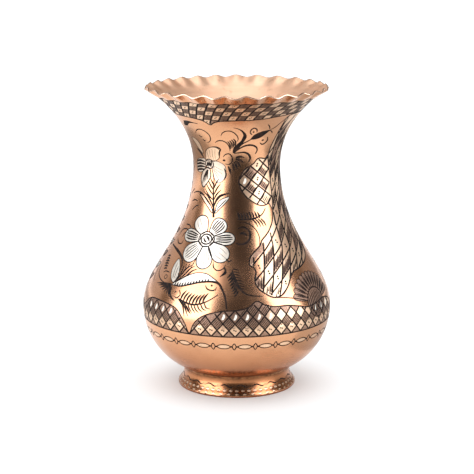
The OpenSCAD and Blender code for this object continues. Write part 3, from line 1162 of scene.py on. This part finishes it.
class Piece:
    """Triangles gathered from several skins, welded into one mesh when it is made."""

    def __init__(self, name):
        self.name = name
        self.points, self.tris, self.tones, self.normals = [], [], [], []
        self.count = 0

    def add(self, points, tris, tone, normals=None, flip=False):
        """tone is one number or one for each triangle. normals, where given, are per corner."""
        tris = np.asarray(tris)
        if flip:
            tris = tris[:, ::-1]
            normals = None if normals is None else normals[:, ::-1]
        self.points.append(np.asarray(points))
        self.tris.append(tris + self.count)
        self.count += len(points)
        self.tones.append(np.broadcast_to(tone, len(tris)))
        self.normals.append(np.zeros((len(tris), 3, 3)) if normals is None else normals)

    def rows(self, rings, tone, flip=False):
        """Joins rings of points, each to the next, where they may have different counts."""
        for low, high in zip(rings[:-1], rings[1:]):
            self.add(np.concatenate([low, high]), zipper(len(low), len(high)), tone, flip=flip)

    def build(self, materials):
        points, tris = np.concatenate(self.points), np.concatenate(self.tris)
        tones, normals = np.concatenate(self.tones), np.concatenate(self.normals)
        places = np.round(points / WELD).astype(np.int64)
        _, first, back = np.unique(places, axis=0, return_index=True, return_inverse=True)
        tris = back.reshape(-1)[tris]
        whole = (tris[:, 0] != tris[:, 1]) & (tris[:, 1] != tris[:, 2]) & (tris[:, 2] != tris[:, 0])
        tris, tones, normals = tris[whole], tones[whole], normals[whole]
        used, tris = np.unique(tris, return_inverse=True)
        points, tris = points[first][used], tris.reshape(-1, 3)
        mesh = bpy.data.meshes.new(self.name)
        mesh.from_pydata((points * MM).tolist(), [], tris.tolist())
        for m in materials:
            mesh.materials.append(m)
        mesh.polygons.foreach_set("material_index", tones.astype(np.int32))
        mesh.polygons.foreach_set("use_smooth", np.ones(len(tris), bool))
        mesh.update()
        mesh.set_sharp_from_angle(angle=RIDGE)
        mesh.normals_split_custom_set(normals.reshape(-1, 3).tolist())
        piece = bpy.data.objects.new(self.name, mesh)
        bpy.context.collection.objects.link(piece)
        return piece


def zipper(n, m):
    """Triangles between ring 0..n-1 and ring n..n+m-1, both starting at the same angle."""
    out = []
    i = j = 0
    while i < n or j < m:
        if j == m or (i < n and (i + 1) * m <= (j + 1) * n):
            out.append((i % n, (i + 1) % n, n + j % m))
            i += 1
        else:
            out.append((i % n, n + (j + 1) % m, n + j % m))
            j += 1
    return out


def circle(surface, count, q, off=0.0, ahead=0.0):
    """A ring of points round a surface at q."""
    a = np.arange(count) * TAU / count
    return surface.at(a, np.full(count, q), off, ahead)


def hoop(count, r, z):
    """A ring of points of radius r at height z."""
    a = np.arange(count) * TAU / count
    return np.stack([r * np.sin(a), -r * np.cos(a), np.full(count, z)], 1)


def skin_parts(surface, v, tris, tone):
    """Points, triangles wound to face outward, and the corner normals of an engraved skin."""
    points = surface.at(v[:, 0], v[:, 1], -v[:, 2])
    tris = tris[:, ::-1]
    smooth = surface.normal(v[:, 0], v[:, 1])[tris]
    p = points[tris]
    flat = np.cross(p[:, 1] - p[:, 0], p[:, 2] - p[:, 0])
    flat /= np.linalg.norm(flat, axis=1)[:, None] + 1e-12
    normals = np.where((tone == LINE)[:, None, None], flat[:, None], smooth)
    return points, tris, normals


# Points round the vase at the crease, the belly and the lip
CREASE_N, SEAM_N, RIM_N = 144, 240, 324


def turned(curve, share, count, off=0.0):
    """A ring of points on a turned curve, moved outward by off."""
    (r, z), = bezier(curve, [share])
    (dr, dz), = bezier_way(curve, [share])
    return hoop(count if r > 1e-6 else 1, r + off * dz, z - off * dr)


def body_pieces():
    """The upper shell and the lower bowl, cut from one engraved skin."""
    q_seam, q_film, q_rim = float(BODY.q_at(SEAM_Z)), float(BODY.q_at(SEAM_Z + FILM)), float(BODY.q[-1])
    rings = [(CREASE_N, 0.0), (SEAM_N, q_seam), (SEAM_N, q_film), (RIM_N, q_rim)]
    v, tris, tone = cut_skin(draw_body(), rings, 3.0)
    mid = v[tris][:, :, 1].mean(1)
    points, tris, normals = skin_parts(BODY, v, tris, tone)

    shell = Piece("engraved_upper_shell")
    up = mid > q_film
    shell.add(points, tris[up], tone[up], normals[up])
    rounding = np.linspace(0, math.pi, 7)
    half = SHEET / 2
    lip = [circle(BODY, RIM_N, q_rim, -half * (1 - math.cos(t)), half * math.sin(t)) for t in rounding]
    shell.rows(lip, EDGE)
    q_flutes = float(BODY.q[np.argmax(BODY.fade > 0)])
    walls = [circle(BODY, CREASE_N, q, -SHEET) for q in np.linspace(q_film, q_flutes, 48)]
    flutes = [circle(BODY, RIM_N, q, -SHEET) for q in np.linspace(q_flutes, q_rim, 14)[1:]]
    shell.rows(walls + flutes, INSIDE, flip=True)
    shell.rows([circle(BODY, SEAM_N, q_film), circle(BODY, CREASE_N, q_film, -SHEET)], EDGE, flip=True)

    bowl = Piece("engraved_lower_bowl")
    low = mid < q_seam
    bowl.add(points, tris[low], tone[low], normals[low])
    # On over the seam's ledge, up the lap, over its edge and down the inside to the middle of the floor
    lap = -SHEET - FILM
    lap_q = np.linspace(q_seam, float(BODY.q_at(LAP_TOP)), 4)
    wall_q = BODY.q_at(np.linspace(SEAM_Z - 2.5, CREASE_Z, 30))
    shares = np.linspace(1, 0, 24)
    bowl.rows([circle(BODY, SEAM_N, q_seam)] + [circle(BODY, CREASE_N, q, lap) for q in lap_q], EDGE)
    bowl.rows(
        [circle(BODY, CREASE_N, lap_q[-1], lap)]
        + [circle(BODY, CREASE_N, q, lap - SHEET) for q in lap_q[::-1]]
        + [circle(BODY, CREASE_N, q, -SHEET) for q in wall_q]
        + [turned(FLOOR_CURVE, t, CREASE_N, -SHEET) for t in shares[1:]],
        INSIDE,
    )
    bowl.rows([turned(FLOOR_CURVE, t, CREASE_N) for t in shares[::-1]], EDGE)
    return shell, bowl


def foot_piece():
    """The flared foot: an engraved skin, with its flange and inner wall."""
    q_top = float(FOOT.q[-1])
    v, tris, tone = cut_skin(draw_foot(), [(SEAM_N, 0.0), (CREASE_N, q_top)], 1.8)
    points, tris, normals = skin_parts(FOOT, v, tris, tone)
    foot = Piece("engraved_foot_ring")
    foot.add(points, tris, tone, normals)
    inner_q = np.linspace(q_top, 0, 12)
    lip = FOOT_R - FOOT_FLANGE
    foot.rows([circle(FOOT, CREASE_N, q_top), circle(FOOT, CREASE_N, q_top, -SHEET)], EDGE)
    foot.rows(
        [circle(FOOT, CREASE_N, q, -SHEET) for q in inner_q]
        + [hoop(CREASE_N, FOOT_R - SHEET, SHEET), hoop(CREASE_N, lip, SHEET), hoop(CREASE_N, lip, 0)],
        INSIDE,
    )
    rounding = []
    for t in (0, 0.5, 1.0, math.pi / 2):
        out, up = FOOT_ROUND * math.sin(t), FOOT_ROUND - FOOT_ROUND * math.cos(t)
        rounding.append(hoop(SEAM_N, FOOT_R - FOOT_ROUND + out, up))
    foot.rows([hoop(CREASE_N, lip, 0)] + rounding + [circle(FOOT, SEAM_N, 0.0)], EDGE)
    return foot


# ---------------------------------------------------------------- materials


class Nodes:
    """A small helper that builds a material's node tree."""

    def __init__(self, name):
        self.material = bpy.data.materials.new(name)
        self.material.use_nodes = True
        self.tree = self.material.node_tree
        self.shader = self.tree.nodes["Principled BSDF"]
        self.where = self.new("ShaderNodeTexCoord").outputs["Object"]

    def new(self, kind, **sockets):
        node = self.tree.nodes.new(kind)
        for key, value in sockets.items():
            self.put(node.inputs[key.replace("_", " ")], value)
        return node

    def put(self, socket, value):
        if isinstance(value, bpy.types.NodeSocket):
            self.tree.links.new(value, socket)
        else:
            socket.default_value = value

    def noise(self, scale, detail=4, stretch=(1, 1, 1), rough=0.55):
        """Noise over the object, from 0 to 1. scale is in features per metre."""
        placed = self.new("ShaderNodeMapping", Vector=self.where, Scale=stretch)
        node = self.new("ShaderNodeTexNoise", Vector=placed.outputs[0], Scale=scale, Detail=detail,
                        Roughness=rough)
        return node.outputs["Fac"]

    def span(self, value, low, high, to_low=0.0, to_high=1.0):
        """value between low and high, brought to the range to_low..to_high and held there."""
        node = self.new("ShaderNodeMapRange", Value=value)
        for key, number in (("From Min", low), ("From Max", high), ("To Min", to_low),
                            ("To Max", to_high)):
            node.inputs[key].default_value = number
        return node.outputs["Result"]

    def blend(self, fac, a, b, kind="MIX"):
        node = self.tree.nodes.new("ShaderNodeMix")
        node.data_type = "RGBA"
        node.blend_type = kind
        self.put(node.inputs["Factor"], fac)
        self.put(node.inputs["A"], a)
        self.put(node.inputs["B"], b)
        return node.outputs["Result"]

    def maths(self, a, b, op="ADD"):
        node = self.tree.nodes.new("ShaderNodeMath")
        node.operation = op
        self.put(node.inputs[0], a)
        self.put(node.inputs[1], b)
        return node.outputs[0]

    def height(self):
        """Height above the table, in metres."""
        return self.new("ShaderNodeSeparateXYZ", Vector=self.where).outputs["Z"]

    def bumps(self, *layers):
        """Bump from (height, depth in metres, strength) layers."""
        normal = None
        for value, depth, strength in layers:
            node = self.new("ShaderNodeBump", Height=value, Distance=depth, Strength=strength)
            if normal:
                self.put(node.inputs["Normal"], normal)
            normal = node.outputs["Normal"]
        self.put(self.shader.inputs["Normal"], normal)

    def finish(self, colour, rough, metal):
        self.put(self.shader.inputs["Base Color"], colour)
        self.put(self.shader.inputs["Roughness"], rough)
        self.put(self.shader.inputs["Metallic"], metal)
        return self.material


COPPER = (0.72, 0.37, 0.20, 1)
PALE = (0.82, 0.47, 0.30, 1)
BURNISHED = (0.93, 0.62, 0.44, 1)
TARNISH = (0.42, 0.17, 0.075, 1)
CREASE_SHADE_COLOUR = (0.055, 0.026, 0.013, 1)


def copper(name, base=COPPER, rough=(0.17, 0.30), stains=0.5):
    """Hand-polished copper: cloudy tarnish and fine turned polishing lines, with painted shade in the
    crease, low on the bowl and where the foot's edge meets the table.
    """
    n = Nodes(name)
    cloud = n.noise(22, 5)
    fine = n.noise(160, 3)
    lines = n.noise(60, 3, stretch=(1, 1, 34))
    colour = n.blend(n.span(cloud, 0.48, 0.78, 0, stains), base, TARNISH)
    colour = n.blend(n.span(fine, 0.60, 0.80, 0, 0.18), colour, TARNISH)
    colour = n.blend(n.span(lines, 0.4, 0.7, 0, 0.10), colour, PALE)
    # Painted shade in the crease: a near-black speckled band, darkest at the crease, and rougher there
    crease, above, below = 0.0138, 0.0195, 0.0105
    crease_shade = n.maths(n.span(n.height(), above, crease), n.span(n.height(), below, crease), "MINIMUM")
    crease_shade = n.maths(crease_shade, n.span(fine, 0.3, 0.6, 0.45, 1.0), "MULTIPLY")
    # Painted shade: darker low on the bowl, where it mirrors the shaded floor close to the vase, and
    # dark where the foot's edge meets the table
    shade = n.blend(n.span(n.height(), 0.016, 0.046), (0.72, 0.58, 0.47, 1), (1, 1, 1, 1))
    shade = n.blend(n.span(n.height(), 0.0008, 0.0018), (0.34, 0.18, 0.11, 1), shade)
    colour = n.blend(1.0, colour, shade, "MULTIPLY")
    colour = n.blend(crease_shade, colour, CREASE_SHADE_COLOUR)
    gloss = n.maths(n.span(cloud, 0.3, 0.75, rough[0], rough[1]), n.span(lines, 0.3, 0.7, -0.01, 0.02))
    gloss = n.maths(gloss, n.maths(crease_shade, 0.25, "MULTIPLY"))
    beaten = n.noise(38, 2)
    n.bumps((beaten, 0.0006, 0.10), (lines, 0.00002, 0.05), (n.noise(900, 3), 0.00003, 0.12))
    return n.finish(colour, gloss, 1.0)


def engraved():
    """The blackened copper of the engraved lines."""
    n = Nodes("blackened_lines")
    grain = n.noise(420, 4)
    colour = n.blend(n.span(grain, 0.45, 0.75), (0.009, 0.005, 0.004, 1), (0.050, 0.022, 0.012, 1))
    n.bumps((grain, 0.0001, 0.5),)
    n.shader.inputs["Specular IOR Level"].default_value = 0.12
    return n.finish(colour, n.span(grain, 0.3, 0.7, 0.45, 0.75), 0.0)


def whitened():
    """Petals rubbed back to a pale, silvery satin."""
    n = Nodes("whitened_petals")
    cloud, fine = n.noise(60, 4), n.noise(500, 3)
    colour = n.blend(n.span(cloud, 0.45, 0.75, 0, 0.55), (0.74, 0.68, 0.58, 1), (0.66, 0.52, 0.39, 1))
    # Painted shade: the petals darker from 135 mm up, on the neck
    colour = n.blend(n.span(n.height(), 0.135, 0.160, 0, 0.75), colour, (0.60, 0.44, 0.32, 1))
    colour = n.blend(n.span(fine, 0.62, 0.8, 0, 0.5), colour, (0.45, 0.30, 0.20, 1))
    n.bumps((fine, 0.00005, 0.4),)
    return n.finish(colour, n.span(fine, 0.3, 0.7, 0.30, 0.5), 0.75)


def painted_glints():
    """Painted glints: near-white and mostly not metallic, so that a tap of the tool looks white all round,
    standing in for its cut facets catching the light.
    """
    n = Nodes("painted_glint_flecks")
    fine = n.noise(900, 3)
    colour = n.blend(n.span(fine, 0.5, 0.75, 0, 0.4), (0.90, 0.85, 0.76, 1), (0.66, 0.52, 0.40, 1))
    n.bumps((fine, 0.00004, 0.4),)
    return n.finish(colour, n.span(fine, 0.3, 0.7, 0.35, 0.5), 0.2)


def hatched():
    """Cells darkened with fine crossed scratches."""
    n = Nodes("hatched_cells")
    grain, cloud = n.noise(1500, 3, stretch=(1, 1, 0.6)), n.noise(90, 3)
    dark = n.blend(cloud, (0.22, 0.127, 0.086, 1), (0.34, 0.197, 0.13, 1))
    colour = n.blend(n.span(grain, 0.46, 0.70), dark, (0.52, 0.32, 0.22, 1))
    n.bumps((grain, 0.0001, 0.6),)
    return n.finish(colour, n.span(grain, 0.3, 0.7, 0.50, 0.34), 0.85)


def pecked():
    """Cells left light, flecked by the punch."""
    n = Nodes("pecked_cells")
    cloud, flecks = n.noise(60, 4), n.noise(1500, 2)
    colour = n.blend(n.span(cloud, 0.4, 0.75, 0, 0.5), (0.82, 0.56, 0.37, 1), (0.69, 0.39, 0.23, 1))
    colour = n.blend(n.span(flecks, 0.60, 0.70, 0, 0.6), colour, (0.30, 0.15, 0.09, 1))
    n.bumps((flecks, 0.00008, 0.5),)
    return n.finish(colour, n.span(flecks, 0.3, 0.7, 0.28, 0.42), 0.9)


def inside_copper():
    """The unpolished inside: matt, warm, with drawn-out turning marks."""
    n = Nodes("matt_inside")
    cloud, lines = n.noise(26, 5), n.noise(34, 4, stretch=(1, 1, 22))
    colour = n.blend(n.span(cloud, 0.40, 0.75, 0, 0.55), (0.93, 0.60, 0.39, 1), (0.70, 0.36, 0.20, 1))
    colour = n.blend(n.span(n.noise(140, 4), 0.58, 0.75, 0, 0.4), colour, (0.42, 0.18, 0.085, 1))
    n.bumps((cloud, 0.0008, 0.2), (lines, 0.0001, 0.35), (n.noise(700, 3), 0.00004, 0.4))
    return n.finish(colour, n.span(lines, 0.3, 0.7, 0.42, 0.58), 0.95)


def brazing():
    """A slightly yellower alloy, wrinkled where it froze and dark with old flux."""
    n = Nodes("braze_alloy")
    fine = n.noise(300, 4)
    colour = n.blend(n.span(fine, 0.4, 0.7), (0.52, 0.27, 0.13, 1), (0.13, 0.060, 0.028, 1))
    n.bumps((fine, 0.0002, 0.5),)
    return n.finish(colour, n.span(fine, 0.3, 0.7, 0.30, 0.55), 1.0)


# ---------------------------------------------------------------- the pieces


def make_pieces():
    """Builds the engraved pieces in place of their CAD nodes, and gives the braze its material."""
    # In the order of the tones
    skin = [copper("satin_copper"), engraved(), whitened(), hatched(), pecked(), inside_copper(),
            copper("bright_edge", base=BURNISHED, rough=(0.16, 0.26), stains=0.3), painted_glints()]
    foot_skin = [copper("foot_copper", rough=(0.17, 0.27), stains=0.35)] + skin[1:]
    shell, bowl = body_pieces()
    for piece, materials, node, slot in (
        (shell, skin, "upper_shell", "copper"),
        (bowl, skin, "lower_bowl", "copper"),
        (foot_piece(), foot_skin, "foot_ring", "foot_copper"),
    ):
        made = piece.build(materials)
        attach(made, "root")
        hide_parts(node)
    alloy = brazing()
    for node in ("belly_braze", "foot_braze"):
        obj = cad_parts[node]
        for material_slot in obj.material_slots:
            material_slot.material = alloy


# ---------------------------------------------------------------- studio


def stage_plane(name, width, height, place, turn, material):
    """A flat card facing along its own +Z, centred at place."""
    w, h = width / 2, height / 2
    mesh = bpy.data.meshes.new(name)
    mesh.from_pydata([(-w, -h, 0), (w, -h, 0), (w, h, 0), (-w, h, 0)], [], [(0, 1, 2, 3)])
    mesh.materials.append(material)
    obj = bpy.data.objects.new(name, mesh)
    obj.location = place
    obj.rotation_euler = turn
    bpy.context.collection.objects.link(obj)
    return obj


def softbox(name, bearing, distance, width, height, middle, power):
    """An area light on bearing, in degrees from the front, facing the vase."""
    light = bpy.data.lights.new(name, "AREA")
    light.shape = "RECTANGLE"
    light.size = width
    light.size_y = height
    light.energy = power
    light.color = (0.95, 1.0, 1.12)
    obj = bpy.data.objects.new(name, light)
    a = math.radians(bearing)
    obj.location = (distance * math.sin(a), -distance * math.cos(a), middle)
    obj.rotation_euler = (math.pi / 2, 0, a)
    obj.visible_diffuse = False
    bpy.context.collection.objects.link(obj)
    return obj


def matt(name, grey):
    """A matt grey card or floor."""
    n = Nodes(name)
    cool, warm = (grey * 0.97, grey, grey * 1.015, 1), (grey * 0.95, grey * 0.98, grey, 1)
    colour = n.blend(n.noise(3), cool, warm)
    return n.finish(colour, 0.9, 0.0)


def world_light(diffuse, glossy):
    """An even white surround, darker and warmer where the metal mirrors it."""
    world = bpy.data.worlds.new("studio")
    bpy.context.scene.world = world
    world.use_nodes = True
    tree = world.node_tree
    path = tree.nodes.new("ShaderNodeLightPath")
    level = tree.nodes.new("ShaderNodeMapRange")
    level.inputs["To Min"].default_value = diffuse
    level.inputs["To Max"].default_value = glossy
    tree.links.new(path.outputs["Is Glossy Ray"], level.inputs["Value"])
    tree.links.new(level.outputs["Result"], tree.nodes["Background"].inputs["Strength"])
    tint = tree.nodes.new("ShaderNodeMix")
    tint.data_type = "RGBA"
    tint.inputs["A"].default_value = (1, 1, 1, 1)
    tint.inputs["B"].default_value = (1, 0.86, 0.70, 1)
    tree.links.new(path.outputs["Is Glossy Ray"], tint.inputs["Factor"])
    tree.links.new(tint.outputs["Result"], tree.nodes["Background"].inputs["Color"])


def studio():
    """A white floor and softboxes, with cards for the metal to mirror."""
    stage_plane("floor", 40, 40, (0, 0, 0), (0, 0, 0), matt("white_floor", 0.86))
    softbox("left_box", -57.5, 0.85, 0.82, 1.3, 0.66, 14)
    softbox("right_box", 61, 0.85, 0.68, 1.3, 0.66, 11.5)
    softbox("left_card", -136, 0.9, 0.95, 1.3, 0.66, 2.0)
    softbox("right_card", 138, 0.9, 0.8, 1.3, 0.66, 0.7)
    top = softbox("top_box", 0, 0, 1.1, 1.1, 1.7, 9)
    top.rotation_euler = (0, 0, 0)
    # Cards that only the metal sees: three in front for its dark middle, three on the floor beside it
    card = matt("black_card", 0.012)
    grey = matt("grey_card", 0.22)
    dim = matt("dim_card", 0.05)
    pale = matt("pale_card", 0.50)
    upright, lying = (math.pi / 2, 0, 0), (0, 0, 0)
    for name, width, height, place, turn, material in (
        ("front_flag", 0.265, 1.7, (0.1125, -0.30, 0.85), upright, card),
        ("dim_flag", 0.07, 1.45, (-0.055, -0.30, 0.975), upright, dim),
        ("low_flag", 0.375, 0.25, (0.0825, -0.302, 0.125), upright, card),
        ("near_flag", 0.22, 0.34, (0.185, 0.11, 0.0015), lying, pale),
        ("left_flag", 1.0, 1.2, (-0.74, 0.50, 0.001), lying, grey),
        ("right_flag", 1.0, 1.2, (0.77, 0.53, 0.001), lying, grey),
    ):
        flag = stage_plane(name, width, height, place, turn, material)
        flag.visible_camera = False
        flag.visible_diffuse = False
        flag.visible_shadow = False
    world_light(1.6, 0.15)


def camera():
    """The photograph's view: a long lens, a little above the vase and tilted down at it."""
    tilt = 12.19
    data = bpy.data.cameras.new("photo_view")
    data.sensor_width = 36
    data.lens = 123.65
    data.shift_x = 0.0006
    obj = bpy.data.objects.new("photo_view", data)
    obj.location = (0, -1.168, 0.362)
    obj.rotation_euler = (math.radians(90 - tilt), 0, 0)
    bpy.context.collection.objects.link(obj)
    bpy.context.scene.camera = obj


make_pieces()
studio()
camera()
bpy.context.scene.view_settings.view_transform = "Standard"
